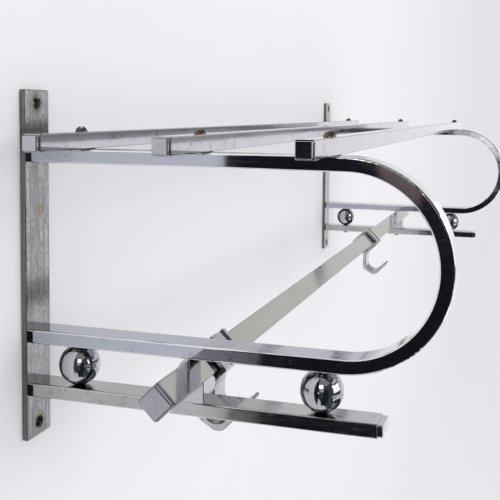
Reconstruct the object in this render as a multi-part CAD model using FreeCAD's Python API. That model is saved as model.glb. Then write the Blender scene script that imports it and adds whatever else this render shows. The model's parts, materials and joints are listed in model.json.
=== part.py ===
import FreeCAD, Part
import math
import os

# Wall rack with three hat rails and a diamond-set hook rail, in millimetres.
# X runs along the wall, Y = 0 is the wall face with the arms towards -Y, Z is up.
# The origin is the centre of the four wall screw holes, on the wall face.

V = FreeCAD.Vector
X_AXIS = V(1, 0, 0)
Y_AXIS = V(0, 1, 0)
Z_AXIS = V(0, 0, 1)

# ---- brackets
BRACKET_SPACING = 893.0        # between the two bracket centre lines
PLATE_WIDTH = 30.0
PLATE_HEIGHT = 250.0
PLATE_THICKNESS = 4.0
PLATE_CORNER_R = 1.2
PLATE_EDGE_R = 0.5
WALL_HOLE_SPACING_Z = 231.0
WALL_HOLE_D = 5.6
WALL_HOLE_SINK_D = 9.6
WALL_HOLE_SINK_DEPTH = 2.0

# ---- flat tube of the loops and lower arms
TUBE_WIDTH = 22.0              # along X
TUBE_HEIGHT = 9.8
TUBE_WALL = 1.5
TUBE_EDGE_R = 1.3
TUBE_BORE_R = 0.3              # inside corners
UPPER_LEG_Z = 79.0             # centre lines
LOWER_LEG_Z = -50.0
LOWER_ARM_Z = -88.8
BEND_CENTRE_Y = -230.0
LOWER_ARM_FRONT_Y = -251.4

# ---- spacer balls between the lower leg and the lower arm
BALL_R = 14.6
BALL_REAR_Y = -37.5
BALL_FRONT_Y = -214.9
BALL_BORE_D = 4.4

# ---- hat rails
HAT_RAIL_SIDE = 12.0
HAT_RAIL_WALL = 1.2
HAT_RAIL_EDGE_R = 0.8
HAT_RAIL_YS = {"back_rail": -39.4, "middle_rail": -128.6, "front_rail": -217.5}
RAIL_OVERHANG = 59.0           # tube end beyond the bracket centre line

# ---- hook rail, a square tube set on its corner
HOOK_RAIL_SIDE = 18.0
HOOK_RAIL_WALL = 1.5
HOOK_RAIL_EDGE_R = 0.8
HOOK_RAIL_Y = -125.7
DIAMOND_TURN = 45              # degrees, turn of a square section onto its corner
RIDGE_GAP = 0.1                # between the ridge of the rail and the lower leg
SADDLE_DEPTH = 21.4            # along Y
SADDLE_EDGE_R = 0.5

# ---- end plugs
PLUG_FLANGE = 2.0
PLUG_PAD = 3.5
PLUG_SPIGOT = 8.0
PLUG_FIT = 0.05                # radial clearance of a spigot in its tube
SPIGOT_EDGE_R = 0.4
PAD_INSET = 0.8                # step between the flange and the pad
PAD_EDGE_R = 0.6
FLANGE_EDGE_R = 0.3

# ---- screws
SCREW_D = 4.0
SCREW_HOLE_D = 4.3
RAIL_HEAD_D = 8.5
RAIL_HEAD_H = 3.9
UNDER_HEAD_D = 8.0
UNDER_HEAD_H = 3.6
SLOT_W = 1.2
SLOT_DEPTH = 1.6
SLOT_TURN = 35                 # degrees from the X axis
TIP_SHORT = 1.0                # from a screw tip to the middle of the tube it enters

# ---- sliding hooks, each a square sleeve with a J-shaped strap as wide as the sleeve
HOOK_LENGTH = 21.2             # along X
HOOK_BORE_GAP = 0.45           # sleeve bore to rail face
HOOK_BORE_CHAMFER = 1.0
HOOK_OUTER_SIDE = 26.0
HOOK_OUTER_EDGE_R = 1.5
COVE_WIDTH = 13.0
COVE_DEPTH = 1.1
STRAP_FRONT_Y = -127.0         # shank faces
STRAP_BACK_Y = -122.7
ROOT_FILLET_R = 12.0
BOWL_CENTRE = (-136.2, -96.9)  # (y, z) of the inside of the hook
BOWL_R = 9.2
ARM_TILT = 41                  # degrees above the horizontal
ARM_LENGTH = 12.3
TIP_THICKNESS = 3.2
STRAP_SINK = 0.4               # start of the strap inside the sleeve wall
STRAP_EDGE_R = 0.5
BELLY = ((-144.4, -107.3), (-139.6, -110.8), (-133.2, -110.2))    # outside of the bottom, (y, z)
HEEL = ((-125.4, -105.5), (-123.5, -103.7), (STRAP_BACK_Y, -101.2))   # its turn up into the shank
HOOK_XS = {"left_outer_hook": -422.8, "left_inner_hook": -401.1, "right_hook": 176.5}

# ---- modelling aids, not dimensions of the rack
OVERSHOOT = 1.0                # how far a cutter passes the face it opens
SAME_PLACE = 0.01              # tolerance when edges are looked up

SIDES = {"left": -BRACKET_SPACING / 2, "right": BRACKET_SPACING / 2}
UPPER_LEG_TOP = UPPER_LEG_Z + TUBE_HEIGHT / 2
LOWER_LEG_BOTTOM = LOWER_LEG_Z - TUBE_HEIGHT / 2
LOWER_ARM_TOP = LOWER_ARM_Z + TUBE_HEIGHT / 2
LOWER_ARM_BOTTOM = LOWER_ARM_Z - TUBE_HEIGHT / 2
BALL_Z = (LOWER_LEG_BOTTOM + LOWER_ARM_TOP) / 2
BALL_HALF_HEIGHT = (LOWER_LEG_BOTTOM - LOWER_ARM_TOP) / 2
HAT_RAIL_Z = UPPER_LEG_TOP + HAT_RAIL_SIDE / 2


def corner_reach(side, radius):
    """Distance from the centre of a rounded square to its rounded corner."""
    return side / math.sqrt(2) - radius * (math.sqrt(2) - 1)


HOOK_RAIL_REACH = corner_reach(HOOK_RAIL_SIDE, HOOK_RAIL_EDGE_R)
HOOK_RAIL_Z = LOWER_LEG_BOTTOM - RIDGE_GAP - HOOK_RAIL_REACH
HOOK_CORNER_Z = HOOK_RAIL_Z - HOOK_OUTER_SIDE / math.sqrt(2)     # where the sleeve's lower faces would meet


def box(x0, x1, y0, y1, z0, z1):
    return Part.makeBox(x1 - x0, y1 - y0, z1 - z0, V(x0, y0, z0))


def rounded_rect_wire(width, height, radius):
    """Outline centred on the origin in the plane X = 0, width along Y and height along Z."""
    reach_y = width / 2 - radius
    reach_z = height / 2 - radius
    arcs = []
    for quarter, (side_y, side_z) in enumerate(((1, 1), (-1, 1), (-1, -1), (1, -1))):
        centre = V(0, side_y * reach_y, side_z * reach_z)
        points = []
        for step in (0, 45, 90):
            angle = math.radians(90 * quarter + step)
            points.append(centre + V(0, math.cos(angle), math.sin(angle)) * radius)
        arcs.append(points)
    edges = []
    for i, points in enumerate(arcs):
        following = arcs[(i + 1) % 4]
        edges.append(Part.Arc(*points).toShape())
        edges.append(Part.makeLine(points[-1], following[0]))
    return Part.Wire(edges)


def rounded_rect_face(width, height, radius):
    return Part.Face(rounded_rect_wire(width, height, radius))


def bar_along_x(x0, x1, y, z, width, height, radius, turn=0):
    """Rounded bar along X, turned about its own centre line."""
    face = rounded_rect_face(width, height, radius)
    face.rotate(V(0, 0, 0), X_AXIS, turn)
    face.translate(V(x0, y, z))
    return face.extrude(V(x1 - x0, 0, 0))


def bar_along_y(y0, y1, x, z, width, height, radius):
    """Rounded bar along Y, width along X and height along Z."""
    face = rounded_rect_face(width, height, radius)
    face.rotate(V(0, 0, 0), Z_AXIS, 90)
    face.translate(V(x, y0, z))
    return face.extrude(V(0, y1 - y0, 0))


def drill_z(x, y, z0, z1, diameter):
    return Part.makeCylinder(diameter / 2, z1 - z0, V(x, y, z0), Z_AXIS)


def edges_at(shape, axis, place):
    """The edges that lie whole in the plane where the coordinate along axis is place."""
    found = []
    for edge in shape.Edges:
        bounds = edge.BoundBox
        low = V(bounds.XMin, bounds.YMin, bounds.ZMin).dot(axis)
        high = V(bounds.XMax, bounds.YMax, bounds.ZMax).dot(axis)
        if abs(low - place) < SAME_PLACE and abs(high - place) < SAME_PLACE:
            found.append(edge)
    return found


def edges_along(shape, axis):
    """The straight edges that run along axis."""
    found = []
    for edge in shape.Edges:
        if abs(abs(edge.tangentAt(edge.FirstParameter).dot(axis)) - 1) < SAME_PLACE:
            found.append(edge)
    return found


def wall_plate(x):
    half_w = PLATE_WIDTH / 2
    half_h = PLATE_HEIGHT / 2
    plate = box(x - half_w, x + half_w, -PLATE_THICKNESS, 0, -half_h, half_h)
    plate = plate.makeFillet(PLATE_CORNER_R, edges_along(plate, Y_AXIS))
    plate = plate.makeFillet(PLATE_EDGE_R, edges_at(plate, Y_AXIS, -PLATE_THICKNESS))
    for z in (-WALL_HOLE_SPACING_Z / 2, WALL_HOLE_SPACING_Z / 2):
        bore = Part.makeCylinder(WALL_HOLE_D / 2, PLATE_THICKNESS + 2 * OVERSHOOT,
                                 V(x, OVERSHOOT, z), -Y_AXIS)
        sink_base = V(x, -PLATE_THICKNESS + WALL_HOLE_SINK_DEPTH, z)
        sink = Part.makeCone(WALL_HOLE_D / 2, WALL_HOLE_SINK_D / 2, WALL_HOLE_SINK_DEPTH, sink_base, -Y_AXIS)
        plate = plate.cut(bore).cut(sink)
    return plate


def loop_solid(x, shrink):
    """The U-shaped loop as a full bar, its section shrunk all round by shrink."""
    width = TUBE_WIDTH - 2 * shrink
    height = TUBE_HEIGHT - 2 * shrink
    radius = max(TUBE_EDGE_R - shrink, TUBE_BORE_R)
    root = -PLATE_THICKNESS
    upper = bar_along_y(BEND_CENTRE_Y, root, x, UPPER_LEG_Z, width, height, radius)
    lower = bar_along_y(BEND_CENTRE_Y, root, x, LOWER_LEG_Z, width, height, radius)
    section = rounded_rect_face(width, height, radius)
    section.rotate(V(0, 0, 0), Z_AXIS, 90)
    section.translate(V(x, BEND_CENTRE_Y, UPPER_LEG_Z))
    centre = V(x, BEND_CENTRE_Y, (UPPER_LEG_Z + LOWER_LEG_Z) / 2)
    bend = section.revolve(centre, X_AXIS, 180)
    return upper.fuse(bend).fuse(lower).removeSplitter()


def loop_arm(x):
    arm = loop_solid(x, 0).cut(loop_solid(x, TUBE_WALL))
    for y in HAT_RAIL_YS.values():
        arm = arm.cut(drill_z(x, y, UPPER_LEG_Z, UPPER_LEG_TOP + OVERSHOOT, SCREW_HOLE_D))
    for y in (BALL_REAR_Y, BALL_FRONT_Y):
        arm = arm.cut(drill_z(x, y, LOWER_LEG_BOTTOM - OVERSHOOT, LOWER_LEG_Z, SCREW_HOLE_D))
    return arm


def lower_arm(x):
    root = -PLATE_THICKNESS
    outer = bar_along_y(LOWER_ARM_FRONT_Y, root, x, LOWER_ARM_Z, TUBE_WIDTH, TUBE_HEIGHT, TUBE_EDGE_R)
    inner = bar_along_y(LOWER_ARM_FRONT_Y, root, x, LOWER_ARM_Z,
                        TUBE_WIDTH - 2 * TUBE_WALL, TUBE_HEIGHT - 2 * TUBE_WALL, TUBE_BORE_R)
    arm = outer.cut(inner)
    for y in (BALL_REAR_Y, HOOK_RAIL_Y, BALL_FRONT_Y):
        arm = arm.cut(drill_z(x, y, LOWER_ARM_BOTTOM - OVERSHOOT, LOWER_ARM_TOP + OVERSHOOT, SCREW_HOLE_D))
    return arm


def lower_arm_plug(x):
    front = LOWER_ARM_FRONT_Y
    step = front - PLUG_FLANGE
    end = step - PLUG_PAD
    spigot_w = TUBE_WIDTH - 2 * TUBE_WALL - 2 * PLUG_FIT
    spigot_h = TUBE_HEIGHT - 2 * TUBE_WALL - 2 * PLUG_FIT
    spigot = bar_along_y(front, front + PLUG_SPIGOT, x, LOWER_ARM_Z, spigot_w, spigot_h, SPIGOT_EDGE_R)
    flange = bar_along_y(step, front, x, LOWER_ARM_Z, TUBE_WIDTH, TUBE_HEIGHT, TUBE_EDGE_R)
    flange = flange.makeFillet(FLANGE_EDGE_R, edges_at(flange, Y_AXIS, step))
    pad = bar_along_y(end, step, x, LOWER_ARM_Z, TUBE_WIDTH - 2 * PAD_INSET,
                      TUBE_HEIGHT - 2 * PAD_INSET, TUBE_EDGE_R)
    pad = pad.makeFillet(PAD_EDGE_R, edges_at(pad, Y_AXIS, end))
    return spigot.fuse(flange).fuse(pad).removeSplitter()


def spacer_ball(x, y):
    """Ball with a flat above and below where it meets the leg and the arm, bored for its screw."""
    ball = Part.makeSphere(BALL_R, V(x, y, BALL_Z))
    reach = BALL_R + OVERSHOOT
    slab = box(x - reach, x + reach, y - reach, y + reach,
               BALL_Z - BALL_HALF_HEIGHT, BALL_Z + BALL_HALF_HEIGHT)
    return ball.common(slab).cut(drill_z(x, y, BALL_Z - reach, BALL_Z + reach, BALL_BORE_D))


def dome_head(x, y, seat_z, diameter, height, up):
    """Slotted round head standing on seat_z, upwards for up = 1 and downwards for up = -1."""
    half = diameter / 2
    sphere_r = (half * half + height * height) / (2 * height)
    top = seat_z + up * height
    ball = Part.makeSphere(sphere_r, V(x, y, top - up * sphere_r))
    past_top = top + up * OVERSHOOT
    slab = box(x - half, x + half, y - half, y + half, min(seat_z, past_top), max(seat_z, past_top))
    slot_floor = top - up * SLOT_DEPTH
    slot = box(x - diameter, x + diameter, y - SLOT_W / 2, y + SLOT_W / 2,
               min(slot_floor, past_top), max(slot_floor, past_top))
    slot.rotate(V(x, y, top), Z_AXIS, SLOT_TURN)
    return ball.common(slab).cut(slot)


def under_screw(x, y, tip_z):
    """Round-head screw entering from below the lower arm."""
    head = dome_head(x, y, LOWER_ARM_BOTTOM, UNDER_HEAD_D, UNDER_HEAD_H, -1)
    shank = drill_z(x, y, LOWER_ARM_BOTTOM, tip_z, SCREW_D)
    return head.fuse(shank).removeSplitter()


def rail_screw(x, y):
    """Round-head screw through a hat rail into the upper leg."""
    seat = UPPER_LEG_TOP + HAT_RAIL_SIDE
    head = dome_head(x, y, seat, RAIL_HEAD_D, RAIL_HEAD_H, 1)
    shank = drill_z(x, y, UPPER_LEG_Z + TIP_SHORT, seat, SCREW_D)
    return head.fuse(shank).removeSplitter()


def saddle_block(x):
    """Block on the lower arm with a notch that carries the hook rail."""
    half = TUBE_WIDTH / 2
    block = box(x - half, x + half, HOOK_RAIL_Y - SADDLE_DEPTH / 2, HOOK_RAIL_Y + SADDLE_DEPTH / 2,
                LOWER_ARM_TOP, HOOK_RAIL_Z)
    block = block.makeFillet(SADDLE_EDGE_R, edges_along(block, Z_AXIS))
    notch = bar_along_x(x - half - OVERSHOOT, x + half + OVERSHOOT, HOOK_RAIL_Y, HOOK_RAIL_Z,
                        HOOK_RAIL_SIDE, HOOK_RAIL_SIDE, HOOK_RAIL_EDGE_R, DIAMOND_TURN)
    block = block.cut(notch)
    return block.cut(drill_z(x, HOOK_RAIL_Y, LOWER_ARM_TOP - OVERSHOOT, HOOK_RAIL_Z, SCREW_HOLE_D))


def square_tube(y, z, side, wall, radius, turn):
    end = BRACKET_SPACING / 2 + RAIL_OVERHANG
    outer = bar_along_x(-end, end, y, z, side, side, radius, turn)
    inner = bar_along_x(-end, end, y, z, side - 2 * wall, side - 2 * wall, TUBE_BORE_R, turn)
    return outer.cut(inner)


def hat_rail(y):
    rail = square_tube(y, HAT_RAIL_Z, HAT_RAIL_SIDE, HAT_RAIL_WALL, HAT_RAIL_EDGE_R, 0)
    for x in SIDES.values():
        rail = rail.cut(drill_z(x, y, UPPER_LEG_TOP - OVERSHOOT,
                                UPPER_LEG_TOP + HAT_RAIL_SIDE + OVERSHOOT, SCREW_HOLE_D))
    return rail


def hook_rail():
    rail = square_tube(HOOK_RAIL_Y, HOOK_RAIL_Z, HOOK_RAIL_SIDE, HOOK_RAIL_WALL,
                       HOOK_RAIL_EDGE_R, DIAMOND_TURN)
    for x in SIDES.values():
        rail = rail.cut(drill_z(x, HOOK_RAIL_Y, LOWER_ARM_TOP, HOOK_RAIL_Z, SCREW_HOLE_D))
    return rail


def rail_plug(side, y, z, rail_side, wall, radius, turn):
    """Stepped end plug, drawn for the right end and mirrored for the left one."""
    tube_end = BRACKET_SPACING / 2 + RAIL_OVERHANG
    step = tube_end + PLUG_FLANGE
    end = step + PLUG_PAD
    spigot_side = rail_side - 2 * wall - 2 * PLUG_FIT
    pad_side = rail_side - 2 * PAD_INSET
    spigot = bar_along_x(tube_end - PLUG_SPIGOT, tube_end, y, z, spigot_side, spigot_side,
                         SPIGOT_EDGE_R, turn)
    flange = bar_along_x(tube_end, step, y, z, rail_side, rail_side, radius, turn)
    flange = flange.makeFillet(FLANGE_EDGE_R, edges_at(flange, X_AXIS, step))
    pad = bar_along_x(step, end, y, z, pad_side, pad_side, radius, turn)
    pad = pad.makeFillet(PAD_EDGE_R, edges_at(pad, X_AXIS, end))
    plug = spigot.fuse(flange).fuse(pad).removeSplitter()
    if side == "left":
        plug = plug.mirror(V(0, 0, 0), X_AXIS)
    return plug


def hook_sleeve(x):
    """Square sleeve round the hook rail with a shallow cove round its middle."""
    half = HOOK_LENGTH / 2
    sleeve = bar_along_x(x - half, x + half, HOOK_RAIL_Y, HOOK_RAIL_Z,
                         HOOK_OUTER_SIDE, HOOK_OUTER_SIDE, HOOK_OUTER_EDGE_R, DIAMOND_TURN)
    chord = COVE_WIDTH / 2
    cove_r = (chord * chord + COVE_DEPTH * COVE_DEPTH) / (2 * COVE_DEPTH)
    reach = HOOK_OUTER_SIDE / 2 - COVE_DEPTH + cove_r
    for quarter in range(4):
        angle = math.radians(DIAMOND_TURN + 90 * quarter)
        outward = V(0, math.cos(angle), math.sin(angle))
        along = V(0, -outward.z, outward.y)
        centre = V(x, HOOK_RAIL_Y, HOOK_RAIL_Z) + outward * reach - along * HOOK_OUTER_SIDE
        sleeve = sleeve.cut(Part.makeCylinder(cove_r, 2 * HOOK_OUTER_SIDE, centre, along))
    return sleeve


def bowl_point(radius, degrees):
    """Point on a circle about the middle of the hook, 0 towards the wall and 90 upwards."""
    angle = math.radians(degrees)
    return BOWL_CENTRE[0] + radius * math.cos(angle), BOWL_CENTRE[1] + radius * math.sin(angle)


def strap_outline(x):
    """Side outline of the J, from its root on the sleeve along the inside, round the tip and back."""
    half_turn = math.radians(DIAMOND_TURN / 2)
    meet_z = HOOK_CORNER_Z - (STRAP_FRONT_Y - HOOK_RAIL_Y)       # shank face meets the sleeve face
    tangent = ROOT_FILLET_R * math.tan(half_turn)
    face_step = tangent * math.sqrt(0.5)
    fillet_mid_y = STRAP_FRONT_Y - ROOT_FILLET_R * (1 - math.cos(half_turn))
    fillet_mid_z = meet_z - tangent + ROOT_FILLET_R * math.sin(half_turn)
    root = (STRAP_FRONT_Y - face_step, meet_z + face_step)
    fillet_end = (STRAP_FRONT_Y, meet_z - tangent)
    sunk = (root[0] + STRAP_SINK, root[1] + STRAP_SINK)

    tilt = math.radians(ARM_TILT)
    arm = (-math.cos(tilt), math.sin(tilt))
    under = (-math.sin(tilt), -math.cos(tilt))
    arm_start = bowl_point(BOWL_R, 270 - ARM_TILT)
    tip_in = (arm_start[0] + arm[0] * ARM_LENGTH, arm_start[1] + arm[1] * ARM_LENGTH)
    tip_out = (tip_in[0] + under[0] * TIP_THICKNESS, tip_in[1] + under[1] * TIP_THICKNESS)
    nose = ((tip_in[0] + tip_out[0] + arm[0] * TIP_THICKNESS) / 2,
            (tip_in[1] + tip_out[1] + arm[1] * TIP_THICKNESS) / 2)

    shank_top = (STRAP_BACK_Y, HOOK_CORNER_Z + (STRAP_BACK_Y - HOOK_RAIL_Y) + STRAP_SINK)

    steps = [("line", sunk, root),
             ("arc", root, (fillet_mid_y, fillet_mid_z), fillet_end),
             ("line", fillet_end, (STRAP_FRONT_Y, BOWL_CENTRE[1])),
             ("arc", (STRAP_FRONT_Y, BOWL_CENTRE[1]), bowl_point(BOWL_R, 270), arm_start),
             ("line", arm_start, tip_in),
             ("arc", tip_in, nose, tip_out),
             ("line", tip_out, BELLY[0]),
             ("arc", *BELLY),
             ("line", BELLY[-1], HEEL[0]),
             ("arc", *HEEL),
             ("line", HEEL[-1], shank_top),
             ("line", shank_top, sunk)]
    edges = []
    for kind, *points in steps:
        corners = [V(x, y, z) for y, z in points]
        if kind == "arc":
            edges.append(Part.Arc(*corners).toShape())
        else:
            edges.append(Part.makeLine(*corners))
    return Part.Wire(edges)


def sliding_hook(x):
    half = HOOK_LENGTH / 2
    strap = Part.Face(strap_outline(x - half)).extrude(V(HOOK_LENGTH, 0, 0))
    bore_side = HOOK_RAIL_SIDE + 2 * HOOK_BORE_GAP
    bore = bar_along_x(x - HOOK_LENGTH, x + HOOK_LENGTH, HOOK_RAIL_Y, HOOK_RAIL_Z,
                       bore_side, bore_side, HOOK_RAIL_EDGE_R, DIAMOND_TURN)
    hook = hook_sleeve(x).fuse(strap).cut(bore).removeSplitter()
    rims = []
    for end in (x - half, x + half):
        for edge in edges_at(hook, X_AXIS, end):
            if edge.BoundBox.ZMax < HOOK_CORNER_Z:
                rims.append(edge)
    hook = hook.makeFillet(STRAP_EDGE_R, rims)
    for sign in (-1, 1):
        mouths = []
        for depth, growth in ((0, HOOK_BORE_CHAMFER), (HOOK_BORE_CHAMFER, 0)):
            side = bore_side + 2 * growth
            mouth = rounded_rect_wire(side, side, HOOK_RAIL_EDGE_R)
            mouth.rotate(V(0, 0, 0), X_AXIS, DIAMOND_TURN)
            mouth.translate(V(x + sign * (half - depth), HOOK_RAIL_Y, HOOK_RAIL_Z))
            mouths.append(mouth)
        hook = hook.cut(Part.makeLoft(mouths, True))
    return hook


def build():
    nodes = {}
    saddle_tip_z = HOOK_RAIL_Z - HOOK_RAIL_REACH + HOOK_RAIL_WALL + SCREW_D
    for side, x in SIDES.items():
        nodes[side + "_wall_plate"] = wall_plate(x)
        nodes[side + "_loop_arm"] = loop_arm(x)
        nodes[side + "_lower_arm"] = lower_arm(x)
        nodes[side + "_lower_arm_plug"] = lower_arm_plug(x)
        nodes[side + "_rear_ball"] = spacer_ball(x, BALL_REAR_Y)
        nodes[side + "_front_ball"] = spacer_ball(x, BALL_FRONT_Y)
        ball_screws = [under_screw(x, y, LOWER_LEG_Z - TIP_SHORT) for y in (BALL_REAR_Y, BALL_FRONT_Y)]
        nodes[side + "_ball_screws"] = Part.makeCompound(ball_screws)
        nodes[side + "_saddle_block"] = saddle_block(x)
        nodes[side + "_saddle_screw"] = under_screw(x, HOOK_RAIL_Y, saddle_tip_z)
        rail_screws = [rail_screw(x, y) for y in HAT_RAIL_YS.values()]
        nodes[side + "_rail_screws"] = Part.makeCompound(rail_screws)
        for rail, y in HAT_RAIL_YS.items():
            nodes[side + "_" + rail + "_plug"] = rail_plug(side, y, HAT_RAIL_Z, HAT_RAIL_SIDE,
                                                           HAT_RAIL_WALL, HAT_RAIL_EDGE_R, 0)
        nodes[side + "_hook_rail_plug"] = rail_plug(side, HOOK_RAIL_Y, HOOK_RAIL_Z, HOOK_RAIL_SIDE,
                                                    HOOK_RAIL_WALL, HOOK_RAIL_EDGE_R, DIAMOND_TURN)
    for rail, y in HAT_RAIL_YS.items():
        nodes[rail] = hat_rail(y)
    nodes["hook_rail"] = hook_rail()
    for hook, x in HOOK_XS.items():
        nodes[hook] = sliding_hook(x)
    return nodes


os.makedirs("parts", exist_ok=True)
for name, shape in build().items():
    shape.exportStep("parts/" + name + ".step")
    bounds = shape.BoundBox
    corners = (bounds.XMin, bounds.XMax, bounds.YMin, bounds.YMax, bounds.ZMin, bounds.ZMax)
    print(name, len(shape.Solids), shape.isValid(), round(shape.Volume), [round(v, 2) for v in corners])
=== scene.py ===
import json
import math

import bpy
from mathutils import Matrix, Vector

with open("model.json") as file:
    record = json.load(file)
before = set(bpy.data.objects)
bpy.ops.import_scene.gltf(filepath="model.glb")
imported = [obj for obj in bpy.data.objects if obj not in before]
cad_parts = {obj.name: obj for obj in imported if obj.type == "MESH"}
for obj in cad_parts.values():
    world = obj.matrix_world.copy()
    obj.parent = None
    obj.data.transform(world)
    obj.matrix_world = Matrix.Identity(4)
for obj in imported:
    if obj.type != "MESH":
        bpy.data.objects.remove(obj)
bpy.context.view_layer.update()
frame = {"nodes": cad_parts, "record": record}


# ---------------------------------------------------------------- node helpers
FACE_ON = 0.992                # how squarely a flat face meets an axis
ROUNDED_OFF = 0.90             # the same where a rounding counts in full
SPECK_CORE = 0.55              # share of a speck's radius that is solid
SCRATCH_WIDTH = 0.012          # how far from its middle value the noise still makes a scratch
SCRATCH_STRETCH = 0.02         # cells along a scratch for one across it


class Graph:
    """A thin wrapper round one material's node tree."""

    def __init__(self, name):
        self.material = bpy.data.materials.new(name)
        self.material.use_nodes = True
        self.tree = self.material.node_tree
        self.shader = self.tree.nodes["Principled BSDF"]
        coordinates = self.add("ShaderNodeTexCoord")
        self.place = coordinates.outputs["Object"]
        self.facing = coordinates.outputs["Normal"]

    def add(self, kind, **values):
        node = self.tree.nodes.new(kind)
        for key, value in values.items():
            setattr(node, key, value)
        return node

    def link(self, source, target):
        self.tree.links.new(source, target)

    def scaled(self, scale, rotation=(0, 0, 0), shift=(0, 0, 0)):
        """The place on the object, scaled, turned and shifted."""
        mapping = self.add("ShaderNodeMapping")
        mapping.inputs["Scale"].default_value = scale
        mapping.inputs["Rotation"].default_value = rotation
        mapping.inputs["Location"].default_value = shift
        self.link(self.place, mapping.inputs["Vector"])
        return mapping.outputs["Vector"]

    def noise(self, scale, detail=4.0, roughness=0.55, rotation=(0, 0, 0)):
        """Noise at scale cells a metre, given as one number or one for each axis."""
        steps = scale if isinstance(scale, tuple) else (scale,) * 3
        node = self.add("ShaderNodeTexNoise")
        node.inputs["Scale"].default_value = 1.0
        node.inputs["Detail"].default_value = detail
        node.inputs["Roughness"].default_value = roughness
        self.link(self.scaled(steps, rotation), node.inputs["Vector"])
        return node.outputs["Fac"]

    def ramp(self, value, low, high, out_low=0.0, out_high=1.0):
        """A smooth step from out_low, where value is low, to out_high, where it is high."""
        node = self.add("ShaderNodeMapRange", interpolation_type="SMOOTHSTEP")
        numbers = {"From Min": low, "From Max": high, "To Min": out_low, "To Max": out_high}
        for key, number in numbers.items():
            node.inputs[key].default_value = number
        self.link(value, node.inputs["Value"])
        return node.outputs["Result"]

    def math(self, operation, a, b=0.0):
        node = self.add("ShaderNodeMath", operation=operation)
        for socket, value in zip(node.inputs, (a, b)):
            if isinstance(value, (int, float)):
                socket.default_value = value
            else:
                self.link(value, socket)
        return node.outputs[0]

    def all_of(self, *masks):
        """The product of the masks and numbers."""
        result = masks[0]
        for mask in masks[1:]:
            result = self.math("MULTIPLY", result, mask)
        return result

    def over(self, base, tint, *masks):
        """The colour base with the colour tint laid over it as far as the product of masks."""
        node = self.add("ShaderNodeMix", data_type="RGBA")
        self.link(self.all_of(*masks), node.inputs["Factor"])
        for index, value in ((6, base), (7, tint)):      # the colour sockets A and B
            if isinstance(value, tuple):
                node.inputs[index].default_value = (*value, 1.0)
            else:
                self.link(value, node.inputs[index])
        return node.outputs[2]

    def axes(self, vector):
        node = self.add("ShaderNodeSeparateXYZ")
        self.link(vector, node.inputs[0])
        return node.outputs[0], node.outputs[1], node.outputs[2]

    def facing_axes(self, turn=0.0):
        """How squarely the surface faces X, Y and Z, after a turn about X: 1 is square on."""
        node = self.add("ShaderNodeMapping", vector_type="NORMAL")
        node.inputs["Rotation"].default_value = (turn, 0, 0)
        self.link(self.facing, node.inputs["Vector"])
        return [self.math("ABSOLUTE", value) for value in self.axes(node.outputs["Vector"])]

    def rounded_edges(self, turn=0.0):
        """1 on the small roundings between flat faces, 0 on the faces."""
        nx, ny, nz = self.facing_axes(turn)
        squarest = self.math("MAXIMUM", nx, self.math("MAXIMUM", ny, nz))
        return self.ramp(squarest, FACE_ON, ROUNDED_OFF)

    def span(self, a, b):
        """Length of the vector with components a and b."""
        squares = self.math("ADD", self.math("POWER", a, 2.0), self.math("POWER", b, 2.0))
        return self.math("SQRT", squares)

    def specks(self, scale, size, shift=0.0):
        """1 inside scattered round specks, 0 elsewhere; shift moves the pattern."""
        cells = self.add("ShaderNodeTexVoronoi", feature="F1")
        cells.inputs["Scale"].default_value = 1.0
        self.link(self.scaled((scale,) * 3, shift=(shift,) * 3), cells.inputs["Vector"])
        return self.ramp(cells.outputs["Distance"], size, size * SPECK_CORE)

    def scratches(self, scale, angle):
        """Thin lines of random length, all about one direction."""
        lines = self.noise((scale, scale * SCRATCH_STRETCH, scale), 2.0, 0.5, (0, 0, angle))
        from_middle = self.math("ABSOLUTE", self.math("SUBTRACT", lines, 0.5))
        return self.ramp(from_middle, SCRATCH_WIDTH, 0.0)

    def bump(self, *layers):
        """Chains (height, strength, distance) layers into the shader's normal."""
        normal = None
        for height, strength, distance in layers:
            node = self.add("ShaderNodeBump")
            node.inputs["Strength"].default_value = strength
            node.inputs["Distance"].default_value = distance
            self.link(height, node.inputs["Height"])
            if normal is not None:
                self.link(normal, node.inputs["Normal"])
            normal = node.outputs["Normal"]
        self.link(normal, self.shader.inputs["Normal"])


# ---------------------------------------------------------------- chrome
PIT = (0.045, 0.035, 0.030)
RUST = (0.13, 0.075, 0.035)
# Painted dark reflections for the rounded edges.
PAINTED_DARK_EDGE = (0.05, 0.05, 0.055)


def painted_edge_lines(g, amount, turn, zone):
    """How far the rounded edges get painted reflection lines, within zone = (axis, where it starts,
    where it is whole).
    """
    painted_share = g.all_of(g.rounded_edges(turn), amount)
    if zone:
        axis, start, whole = zone
        painted_share = g.all_of(painted_share, g.ramp(g.axes(g.place)[axis], start, whole))
    return painted_share


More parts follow.
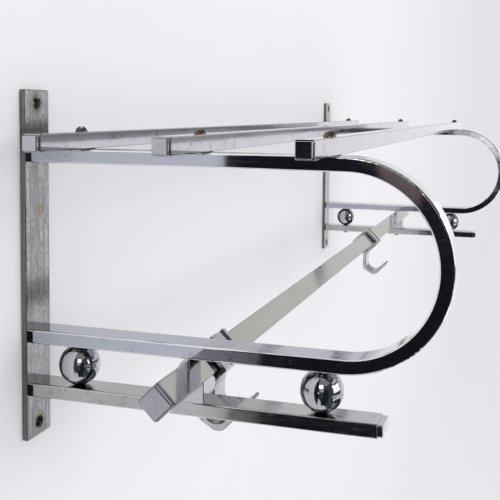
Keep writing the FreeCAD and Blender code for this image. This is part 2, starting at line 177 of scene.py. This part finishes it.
def chrome(name, tint, dull, rough, age=1.0, wave=0.10, stains=0.0, edges=0.0, turn=0.0,
           edge_tint=PAINTED_DARK_EDGE, edge_zone=None):
    """Old polished chrome: faint clouding, fine scratches, dark pits and, in places, brown stains and
    painted reflection lines along the rounded edges.

    turn is the turn about X of the piece's flat faces, and wave the strength of their waviness.
    """
    g = Graph(name)
    g.shader.inputs["Metallic"].default_value = 1.0
    clouds = g.ramp(g.noise(22.0, 5.0, 0.6), 0.35, 0.75)
    spotty = g.ramp(g.noise(60.0, 2.0), 0.50, 0.64)
    large_pits = g.all_of(g.specks(210.0, 0.13), spotty)
    small_pits = g.all_of(g.specks(520.0, 0.20, 3.7), spotty, 0.6)
    pitted = g.math("MAXIMUM", large_pits, small_pits)
    colour = g.over(tint, dull, clouds, 0.55 * age)
    if stains:
        blots = g.ramp(g.noise(75.0, 6.0, 0.72), 0.56, 0.70)
        colour = g.over(colour, RUST, blots, stains)
    # Painted reflections along the rounded edges: dark lines by default, painted highlights where
    # edge_tint is light.
    if edges:
        colour = g.over(colour, edge_tint, painted_edge_lines(g, edges, turn, edge_zone))
    colour = g.over(colour, PIT, pitted, 0.85 * age)
    g.link(colour, g.shader.inputs["Base Color"])

    scratched = g.math("ADD", g.scratches(900.0, 0.4), g.scratches(700.0, 1.3))
    smears = g.ramp(g.noise(45.0, 6.0, 0.7), 0.3, 0.8, rough, rough + 0.07 * age)
    finish = g.math("ADD", smears, g.all_of(g.math("MINIMUM", scratched, 1.0), 0.10 * age))
    finish = g.math("ADD", finish, g.all_of(pitted, 0.35))
    g.link(finish, g.shader.inputs["Roughness"])
    g.bump((g.noise(28.0, 2.0), wave, 0.0010),
           (scratched, 0.05, 0.00002),
           (pitted, -0.30, 0.00008))
    return g.material


# ---------------------------------------------------------------- tarnished plate
SCREW_PATTERN = next(m for m in frame["record"]["mounts"] if m["name"] == "wall_screws")["dims"]
HOLE_X = SCREW_PATTERN["spacing_x_mm"] / 2000
HOLE_Z = SCREW_PATTERN["spacing_y_mm"] / 2000
STAIN_X = -0.4425              # one round brown stain on the left plate
STAIN_Z = 0.040
SHADED_BAND_Z = (0.078, 0.092, 0.108)     # start, darkest and end, about as high as the hat rails

# Radii in metres as (where a mark starts, where it is whole), and how ragged its outline is.
HALO_RADII = (0.0145, 0.0085)
RING_RADII = (0.0100, 0.0078)
LIP_OUTER_RADII = (0.0052, 0.0046)
LIP_INNER_RADII = (0.0034, 0.0040)
STAIN_RADII = (0.0095, 0.0055)
RUST_RAGGED = 0.009
STAIN_RAGGED = 0.006

PLATE_PALE = (0.47, 0.47, 0.47)
PLATE_STREAK = (0.25, 0.252, 0.25)
PLATE_FINE_STREAK = (0.17, 0.17, 0.165)
PLATE_CLOUD = (0.19, 0.185, 0.165)
PLATE_GRAIN = (0.13, 0.13, 0.125)
PLATE_GLINT = (0.55, 0.55, 0.54)
# Painted shade on the plate's narrow sides.
PLATE_SIDE_SHADE = (0.07, 0.07, 0.078)
BAND_SHADE = (0.12, 0.125, 0.12)
BAND_LINE = (0.06, 0.06, 0.06)
RUST_HALO = (0.20, 0.155, 0.075)
RUST_RING = (0.10, 0.055, 0.022)
# Painted glint on the lip of each screw hole.
PAINTED_LIP_GLINT = (0.80, 0.76, 0.62)
STAIN = (0.22, 0.16, 0.09)
FLECK = (0.62, 0.60, 0.55)


def brushed_colour(g, streaks):
    """Pale plating with upright streaks, clouds, grain and glints."""
    fine = g.ramp(g.noise((900.0, 900.0, 80.0), 5.0, 0.7), 0.40, 0.66)
    clouds = g.ramp(g.noise((120.0, 120.0, 55.0), 7.0, 0.72), 0.46, 0.66)
    grain = g.ramp(g.noise(330.0, 6.0, 0.8), 0.42, 0.64)
    bright = g.ramp(g.noise(620.0, 4.0, 0.7), 0.60, 0.72)
    patches = g.ramp(g.noise(50.0, 2.0), 0.42, 0.60)
    colour = g.over(PLATE_PALE, PLATE_STREAK, streaks, 0.75)
    colour = g.over(colour, PLATE_FINE_STREAK, fine, 0.45)
    colour = g.over(colour, PLATE_CLOUD, clouds, 0.50)
    colour = g.over(colour, PLATE_GRAIN, grain, 0.50)
    return g.over(colour, PLATE_GLINT, bright, patches, 0.45)


def shaded_band(g, colour, z):
    """Painted shade in a stretch near the top, with fine level lines across it."""
    start, darkest, end = SHADED_BAND_Z
    band = g.all_of(g.ramp(z, start, darkest), g.ramp(z, end, darkest))
    lines = g.ramp(g.noise((30.0, 30.0, 900.0), 3.0, 0.6), 0.50, 0.62)
    colour = g.over(colour, BAND_SHADE, band, 0.55)
    return g.over(colour, BAND_LINE, band, lines, 0.7)


def rusty_holes(g, colour, x, z):
    """A ragged rust ring and halo round each screw hole, and a painted glint on its lip.

    It returns the colour and the halo.
    """
    from_hole = g.span(g.math("SUBTRACT", g.math("ABSOLUTE", x), HOLE_X),
                       g.math("SUBTRACT", g.math("ABSOLUTE", z), HOLE_Z))
    ragged = g.math("ADD", from_hole, g.all_of(g.noise(260.0, 5.0, 0.7), RUST_RAGGED))
    halo = g.ramp(ragged, *HALO_RADII)
    ring = g.ramp(ragged, *RING_RADII)
    lip = g.all_of(g.ramp(from_hole, *LIP_OUTER_RADII), g.ramp(from_hole, *LIP_INNER_RADII))
    painted_share = g.ramp(g.noise(420.0, 3.0, 0.6), 0.44, 0.54)
    colour = g.over(colour, RUST_HALO, halo, 0.55)
    colour = g.over(colour, RUST_RING, ring, 0.9)
    # A painted glint on the lip of each hole, broken up by noise.
    return g.over(colour, PAINTED_LIP_GLINT, lip, painted_share, 0.9), halo


def round_stain(g, colour, x, z):
    from_stain = g.span(g.math("SUBTRACT", x, STAIN_X), g.math("SUBTRACT", z, STAIN_Z))
    ragged = g.math("ADD", from_stain, g.all_of(g.noise(300.0, 4.0, 0.7), STAIN_RAGGED))
    return g.over(colour, STAIN, g.ramp(ragged, *STAIN_RADII), 0.5)


def tarnished_plate():
    """Brushed, tarnished plating: upright streaks, brown clouds, rust round the screw holes."""
    g = Graph("tarnished_plate")
    g.shader.inputs["Metallic"].default_value = 1.0
    x, _, z = g.axes(g.place)
    streaks = g.ramp(g.noise((400.0, 400.0, 9.0), 6.0, 0.65), 0.36, 0.64)
    pitted = g.all_of(g.specks(330.0, 0.16), g.ramp(g.noise(70.0, 3.0), 0.46, 0.60))
    flecks = g.all_of(g.specks(420.0, 0.15, 5.1), g.ramp(g.noise(90.0, 2.0), 0.52, 0.60))
    shaded_narrow_sides = g.ramp(g.facing_axes()[0], 0.3, 0.8)
    colour = brushed_colour(g, streaks)
    colour = shaded_band(g, colour, z)
    colour, halo = rusty_holes(g, colour, x, z)
    colour = round_stain(g, colour, x, z)
    colour = g.over(colour, PIT, pitted, 0.85)
    colour = g.over(colour, FLECK, flecks, 0.5)
    # Painted shade on the narrow sides that face along X.
    colour = g.over(colour, PLATE_SIDE_SHADE, shaded_narrow_sides, 0.52)
    # Painted dark reflections along the rounded edges.
    colour = g.over(colour, PAINTED_DARK_EDGE, g.rounded_edges(), 0.6)
    g.link(colour, g.shader.inputs["Base Color"])

    brushing = g.ramp(g.noise((300.0, 300.0, 16.0), 5.0, 0.7), 0.3, 0.75, 0.09, 0.20)
    finish = g.math("ADD", brushing, g.all_of(g.math("MAXIMUM", halo, pitted), 0.25))
    g.link(finish, g.shader.inputs["Roughness"])
    g.bump((g.noise(26.0, 2.0), 0.10, 0.0010),
           (streaks, 0.10, 0.00002),
           (pitted, -0.35, 0.00010),
           (g.all_of(halo, g.noise(900.0, 4.0)), 0.35, 0.00015))
    return g.material


# ---------------------------------------------------------------- surfaces of the nodes
Y_AXIS = 1
Z_AXIS = 2
DIAMOND = math.pi / 4          # the hook rail and its plugs stand on a corner
BACK_AND_MIDDLE = (Y_AXIS, -0.205, -0.165)     # not the plugs at the front
STRAP_ONLY = (Z_AXIS, -0.080, -0.088)          # a hook's strap, below its sleeve
SURFACES = {
    # The light edge tints of the bracket and lower arm are painted highlights along their rounded
    # edges; the other pieces with edges get painted dark reflections there.
    "bracket": chrome("aged_chrome_bracket", (0.465, 0.482, 0.530), (0.385, 0.400, 0.435), 0.035,
                      stains=0.25, edges=0.9, edge_tint=(0.92, 0.92, 0.94)),
    "lower_arm": chrome("aged_chrome_lower_arm", (0.47, 0.47, 0.475), (0.36, 0.355, 0.35), 0.05,
                        age=1.5, stains=0.35, edges=0.5, edge_tint=(0.8, 0.8, 0.8)),
    "saddle": chrome("aged_chrome_saddle", (0.52, 0.52, 0.545), (0.44, 0.44, 0.455), 0.04,
                     edges=0.8),
    "hat_rail": chrome("aged_chrome_hat_rail", (0.54, 0.545, 0.565), (0.46, 0.46, 0.475), 0.05,
                       stains=0.35, edges=0.6),
    "hook_rail": chrome("aged_chrome_hook_rail", (0.505, 0.492, 0.468), (0.435, 0.422, 0.390), 0.06,
                        edges=0.6, turn=DIAMOND),
    "plug": chrome("aged_chrome_plug", (0.52, 0.52, 0.55), (0.38, 0.38, 0.41), 0.05,
                   age=1.5, stains=0.2, edges=0.9, edge_zone=BACK_AND_MIDDLE),
    "hook_plug": chrome("aged_chrome_hook_plug", (0.395, 0.395, 0.425), (0.275, 0.275, 0.30), 0.07,
                        age=1.6, stains=0.25, edges=0.9, turn=DIAMOND),
    "ball": chrome("aged_chrome_ball", (0.50, 0.50, 0.515), (0.44, 0.44, 0.455), 0.025,
                   age=1.1, wave=0.08),
    "hook": chrome("aged_chrome_hook", (0.535, 0.535, 0.56), (0.45, 0.45, 0.47), 0.05,
                   age=1.8, stains=0.45, edges=0.75, edge_zone=STRAP_ONLY),
    "plate": tarnished_plate(),
    "screws": chrome("browned_screws", (0.16, 0.125, 0.10), (0.07, 0.05, 0.035), 0.22,
                     stains=0.6),
}


def surface_of(node_name, slot):
    """The record's slot, or a closer match for the pieces that have a surface of their own."""
    if node_name.endswith("hook_rail_plug"):
        return SURFACES["hook_plug"]
    if node_name.endswith("lower_arm"):
        return SURFACES["lower_arm"]
    return SURFACES[slot]


for row in frame["record"]["subparts"]:
    for material_slot in frame["nodes"][row["node"]].material_slots:
        material_slot.material = surface_of(row["node"], row["material_slot"])


# ---------------------------------------------------------------- backdrop
PAINT = (0.87, 0.87, 0.885, 1.0)
WALL_Y = 0.0005                # just behind the wall plates
WALL_TOP_Z = 3.0
FLOOR_Z = -2.2
FLOOR_FRONT_Y = -8.0
COVE_R = 1.2                   # round stretch between wall and floor
COVE_STEPS = 24
BACKDROP_XS = (-3.0, 14.0)


def link(thing):
    bpy.context.scene.collection.objects.link(thing)
    return thing


def backdrop_paint():
    """Matt paint, clear from behind so that the back of the rack can be seen."""
    material = bpy.data.materials.new("backdrop_paint")
    material.use_nodes = True
    tree = material.node_tree
    body = tree.nodes["Principled BSDF"]
    body.inputs["Base Color"].default_value = PAINT
    body.inputs["Roughness"].default_value = 0.9
    body.inputs["Specular IOR Level"].default_value = 0.0
    side = tree.nodes.new("ShaderNodeNewGeometry")
    clear = tree.nodes.new("ShaderNodeBsdfTransparent")
    either = tree.nodes.new("ShaderNodeMixShader")
    tree.links.new(side.outputs["Backfacing"], either.inputs["Fac"])
    tree.links.new(body.outputs[0], either.inputs[1])
    tree.links.new(clear.outputs[0], either.inputs[2])
    tree.links.new(either.outputs[0], tree.nodes["Material Output"].inputs["Surface"])
    return material


def backdrop():
    """One sheet, facing the rack: the wall, a wide cove and the floor."""
    profile = [(WALL_Y, WALL_TOP_Z)]
    for i in range(COVE_STEPS + 1):
        turn = math.radians(90 * i / COVE_STEPS)
        profile.append((WALL_Y - COVE_R + COVE_R * math.cos(turn),
                        FLOOR_Z + COVE_R - COVE_R * math.sin(turn)))
    profile.append((FLOOR_FRONT_Y, FLOOR_Z))
    points = [(x, y, z) for x in BACKDROP_XS for y, z in profile]
    count = len(profile)
    faces = [(i, i + 1, count + i + 1, count + i) for i in range(count - 1)]
    mesh = bpy.data.meshes.new("backdrop")
    mesh.from_pydata(points, [], faces)
    mesh.materials.append(backdrop_paint())
    mesh.shade_smooth()
    link(bpy.data.objects.new("backdrop", mesh))


backdrop()


# ---------------------------------------------------------------- cards that polished faces reflect
def glow(name, colour, strength):
    material = bpy.data.materials.new(name)
    material.use_nodes = True
    nodes = material.node_tree.nodes
    nodes.remove(nodes["Principled BSDF"])
    light = nodes.new("ShaderNodeEmission")
    light.inputs["Color"].default_value = (*colour, 1.0)
    light.inputs["Strength"].default_value = strength
    material.node_tree.links.new(light.outputs[0], nodes["Material Output"].inputs["Surface"])
    return material


def card(name, corners, colour, strength):
    """A studio card that shows only as a reflection."""
    mesh = bpy.data.meshes.new(name)
    mesh.from_pydata(corners, [], [(0, 1, 2, 3)])
    mesh.materials.append(glow(name, colour, strength))
    thing = link(bpy.data.objects.new(name, mesh))
    thing.visible_camera = False
    thing.visible_diffuse = False
    thing.visible_shadow = False
    thing.visible_transmission = False


def card_across_x(name, x, y0, y1, z0, z1, colour, strength):
    card(name, [(x, y0, z0), (x, y1, z0), (x, y1, z1), (x, y0, z1)], colour, strength)


def card_across_y(name, y, x0, x1, z0, z1, colour, strength):
    card(name, [(x0, y, z0), (x1, y, z0), (x1, y, z1), (x0, y, z1)], colour, strength)


def card_across_z(name, z, x0, x1, y0, y1, colour, strength):
    card(name, [(x0, y0, z), (x1, y0, z), (x1, y1, z), (x0, y1, z)], colour, strength)


def slanted_card(name, corners, colour, strength):
    """A card just in front of the wall with its corners given as (x, z)."""
    card(name, [(x, PATCH_Y, z) for x, z in corners], colour, strength)


DARK_Y = -0.0015               # three layers of cards in front of the wall
BROWN_Y = 2 * DARK_Y
PATCH_Y = 3 * DARK_Y
FAR_X = -9.0                   # left end of the cards beside the wall
WALL_END_X = -0.856            # the pale wall ends here and the dark room starts
LOW_WALL_END_X = WALL_END_X - 0.13        # the same below LOW_Z
LOW_Z = -0.13
ROOM_FLOOR_Z = -2.0
ROOM_X = 4.0                   # far wall of the room, past the right bracket
ROOM_FRONT_Y = -7.0
ROOM_BACK_Y = -0.02
ROOM_BAND_Z = 0.42             # above this the far wall is dimmer
DARK_FLOOR_Z = -2.05
CEILING_Z = 2.4

NIGHT = (0.8, 0.92, 1.25)
WHITE = (1.0, 1.0, 1.0)
WARM_WHITE = (1.0, 0.99, 0.97)

# The dark room beside the wall, left of the rack, and the coloured patches in it.
card_across_y("dark_wall", DARK_Y, FAR_X, WALL_END_X, LOW_Z, 2.5, NIGHT, 0.015)
card_across_y("dark_wall_low", DARK_Y, FAR_X, LOW_WALL_END_X, ROOM_FLOOR_Z, LOW_Z, NIGHT, 0.015)
card_across_y("dim_wall_low", DARK_Y, LOW_WALL_END_X, WALL_END_X - 0.015, ROOM_FLOOR_Z, LOW_Z,
              (1.0, 1.0, 1.05), 0.20)
card_across_y("brown_patch", BROWN_Y, -2.62, -1.88, -0.20, -0.01, (1.0, 0.76, 0.78), 0.15)
slanted_card("brown_light", [(-1.9, -0.030), (-2.6, -0.175), (-2.6, -0.09), (-1.9, -0.005)],
             (1.0, 0.76, 0.76), 0.23)
slanted_card("orange_streak", [(-2.40, -0.104), (-2.60, -0.162), (-2.60, -0.153), (-2.40, -0.096)],
             (1.0, 0.72, 0.45), 0.75)
slanted_card("bright_patch", [(-3.2, -0.10), (FAR_X, -0.45), (FAR_X, 0.30), (-3.2, 0.30)],
             WARM_WHITE, 1.9)

# The lit end of the room, past the right bracket.
card_across_x("far_room", ROOM_X, ROOM_FRONT_Y, ROOM_BACK_Y, ROOM_FLOOR_Z, ROOM_BAND_Z,
              (0.95, 0.96, 1.0), 1.05)
card_across_x("far_room_high", ROOM_X, ROOM_FRONT_Y, ROOM_BACK_Y, ROOM_BAND_Z, CEILING_Z,
              (0.97, 1.0, 1.0), 0.82)

# A dark upright shape left of the rack with two lighter strips on it, the dark floor, and a tan
# patch beside the wall.
card_across_x("figure", -1.3, -1.1, -0.30, ROOM_FLOOR_Z, 0.32, NIGHT, 0.025)
card_across_z("dark_floor", DARK_FLOOR_Z, -4.0, 0.3, -5.0, -0.75, NIGHT, 0.09)
slanted_card("tan_patch", [(-3.2, -0.028), (-1.95, -0.012), (-1.95, 0.12), (-3.2, 0.12)],
             (1.0, 0.90, 0.78), 1.0)
card_across_x("figure_strip", -1.29, -0.46, -0.36, -0.45, 0.12, (0.8, 0.9, 1.1), 0.13)
card_across_x("figure_sleeve", -1.28, -0.55, -0.25, 0.05, 0.36, (1.0, 0.93, 1.08), 0.55)

# A dim ceiling, and the windows across the room.
card_across_z("ceiling", CEILING_Z, -3.2, 1.5, -2.6, -0.05, WARM_WHITE, 0.32)
card_across_y("window_glass", -2.48, -1.05, 0.85, -0.2, 1.2, WHITE, 1.8)
card_across_y("window_low", -1.9, -0.75, 0.85, -1.35, -0.95, WHITE, 2.0)


# ---------------------------------------------------------------- light
SKY = (0.985, 0.98, 1.0, 1.0)
SKY_STRENGTH = 0.95
DIM_ROOM = (0.90, 0.95, 1.0, 1.0)
DIM_ROOM_STRENGTH = 0.075


def studio_world():
    """Even pale light, with a dim room where polished faces look past the cards."""
    world = bpy.data.worlds.new("studio")
    bpy.context.scene.world = world
    world.use_nodes = True
    tree = world.node_tree
    pale = tree.nodes["Background"]
    pale.inputs["Color"].default_value = SKY
    pale.inputs["Strength"].default_value = SKY_STRENGTH
    room = tree.nodes.new("ShaderNodeBackground")
    room.inputs["Color"].default_value = DIM_ROOM
    room.inputs["Strength"].default_value = DIM_ROOM_STRENGTH
    path = tree.nodes.new("ShaderNodeLightPath")
    either = tree.nodes.new("ShaderNodeMixShader")
    tree.links.new(path.outputs["Is Glossy Ray"], either.inputs["Fac"])
    tree.links.new(pale.outputs[0], either.inputs[1])
    tree.links.new(room.outputs[0], either.inputs[2])
    tree.links.new(either.outputs[0], tree.nodes["World Output"].inputs["Surface"])


def area_light(name, place, target, size, power):
    """A rectangular light, size metres wide and high and power watts, aimed at target."""
    data = bpy.data.lights.new(name, "AREA")
    data.shape = "RECTANGLE"
    data.size, data.size_y = size
    data.energy = power
    light = link(bpy.data.objects.new(name, data))
    light.location = place
    light.rotation_euler = (Vector(target) - Vector(place)).to_track_quat("-Z", "Y").to_euler()
    return light


studio_world()
lamp = area_light("lamp", place=(-0.93, -0.285, 0.255), target=(-0.45, -0.13, -0.05),
                  size=(0.20, 0.17), power=0.40)
lamp.visible_diffuse = False   # it only adds highlights
area_light("window", place=(-0.1, -2.5, 0.5), target=(-0.1, 0.0, 0.2), size=(1.9, 1.4), power=12.0)


# ---------------------------------------------------------------- camera
CAMERA_PLACE = (-0.97114, -0.34117, 0.11248)
CAMERA_YAW = 16.80             # degrees, from +X towards the wall
CAMERA_PITCH = -3.77
CAMERA_ROLL = 0.64
SENSOR_WIDTH = 36.0            # millimetres, like the lens
LENS = 60.67
SHIFT_X = -0.0547
SHIFT_Y = -0.1688


def photo_camera():
    yaw, pitch, roll = (math.radians(a) for a in (CAMERA_YAW, CAMERA_PITCH, CAMERA_ROLL))
    ahead = Vector((math.cos(pitch) * math.cos(yaw), math.cos(pitch) * math.sin(yaw), math.sin(pitch)))
    right = ahead.cross(Vector((0, 0, 1))).normalized()
    up = right.cross(ahead)
    tilted_right = math.cos(roll) * right + math.sin(roll) * up
    tilted_up = math.cos(roll) * up - math.sin(roll) * right
    data = bpy.data.cameras.new("camera")
    data.sensor_width = SENSOR_WIDTH
    data.lens = LENS
    data.shift_x = SHIFT_X
    data.shift_y = SHIFT_Y
    data.clip_start = 0.01
    camera = link(bpy.data.objects.new("camera", data))
    turn = Matrix((tilted_right, tilted_up, -ahead)).transposed()
    camera.matrix_world = Matrix.Translation(CAMERA_PLACE) @ turn.to_4x4()
    bpy.context.scene.camera = camera


photo_camera()
bpy.context.scene.view_settings.view_transform = "Standard"
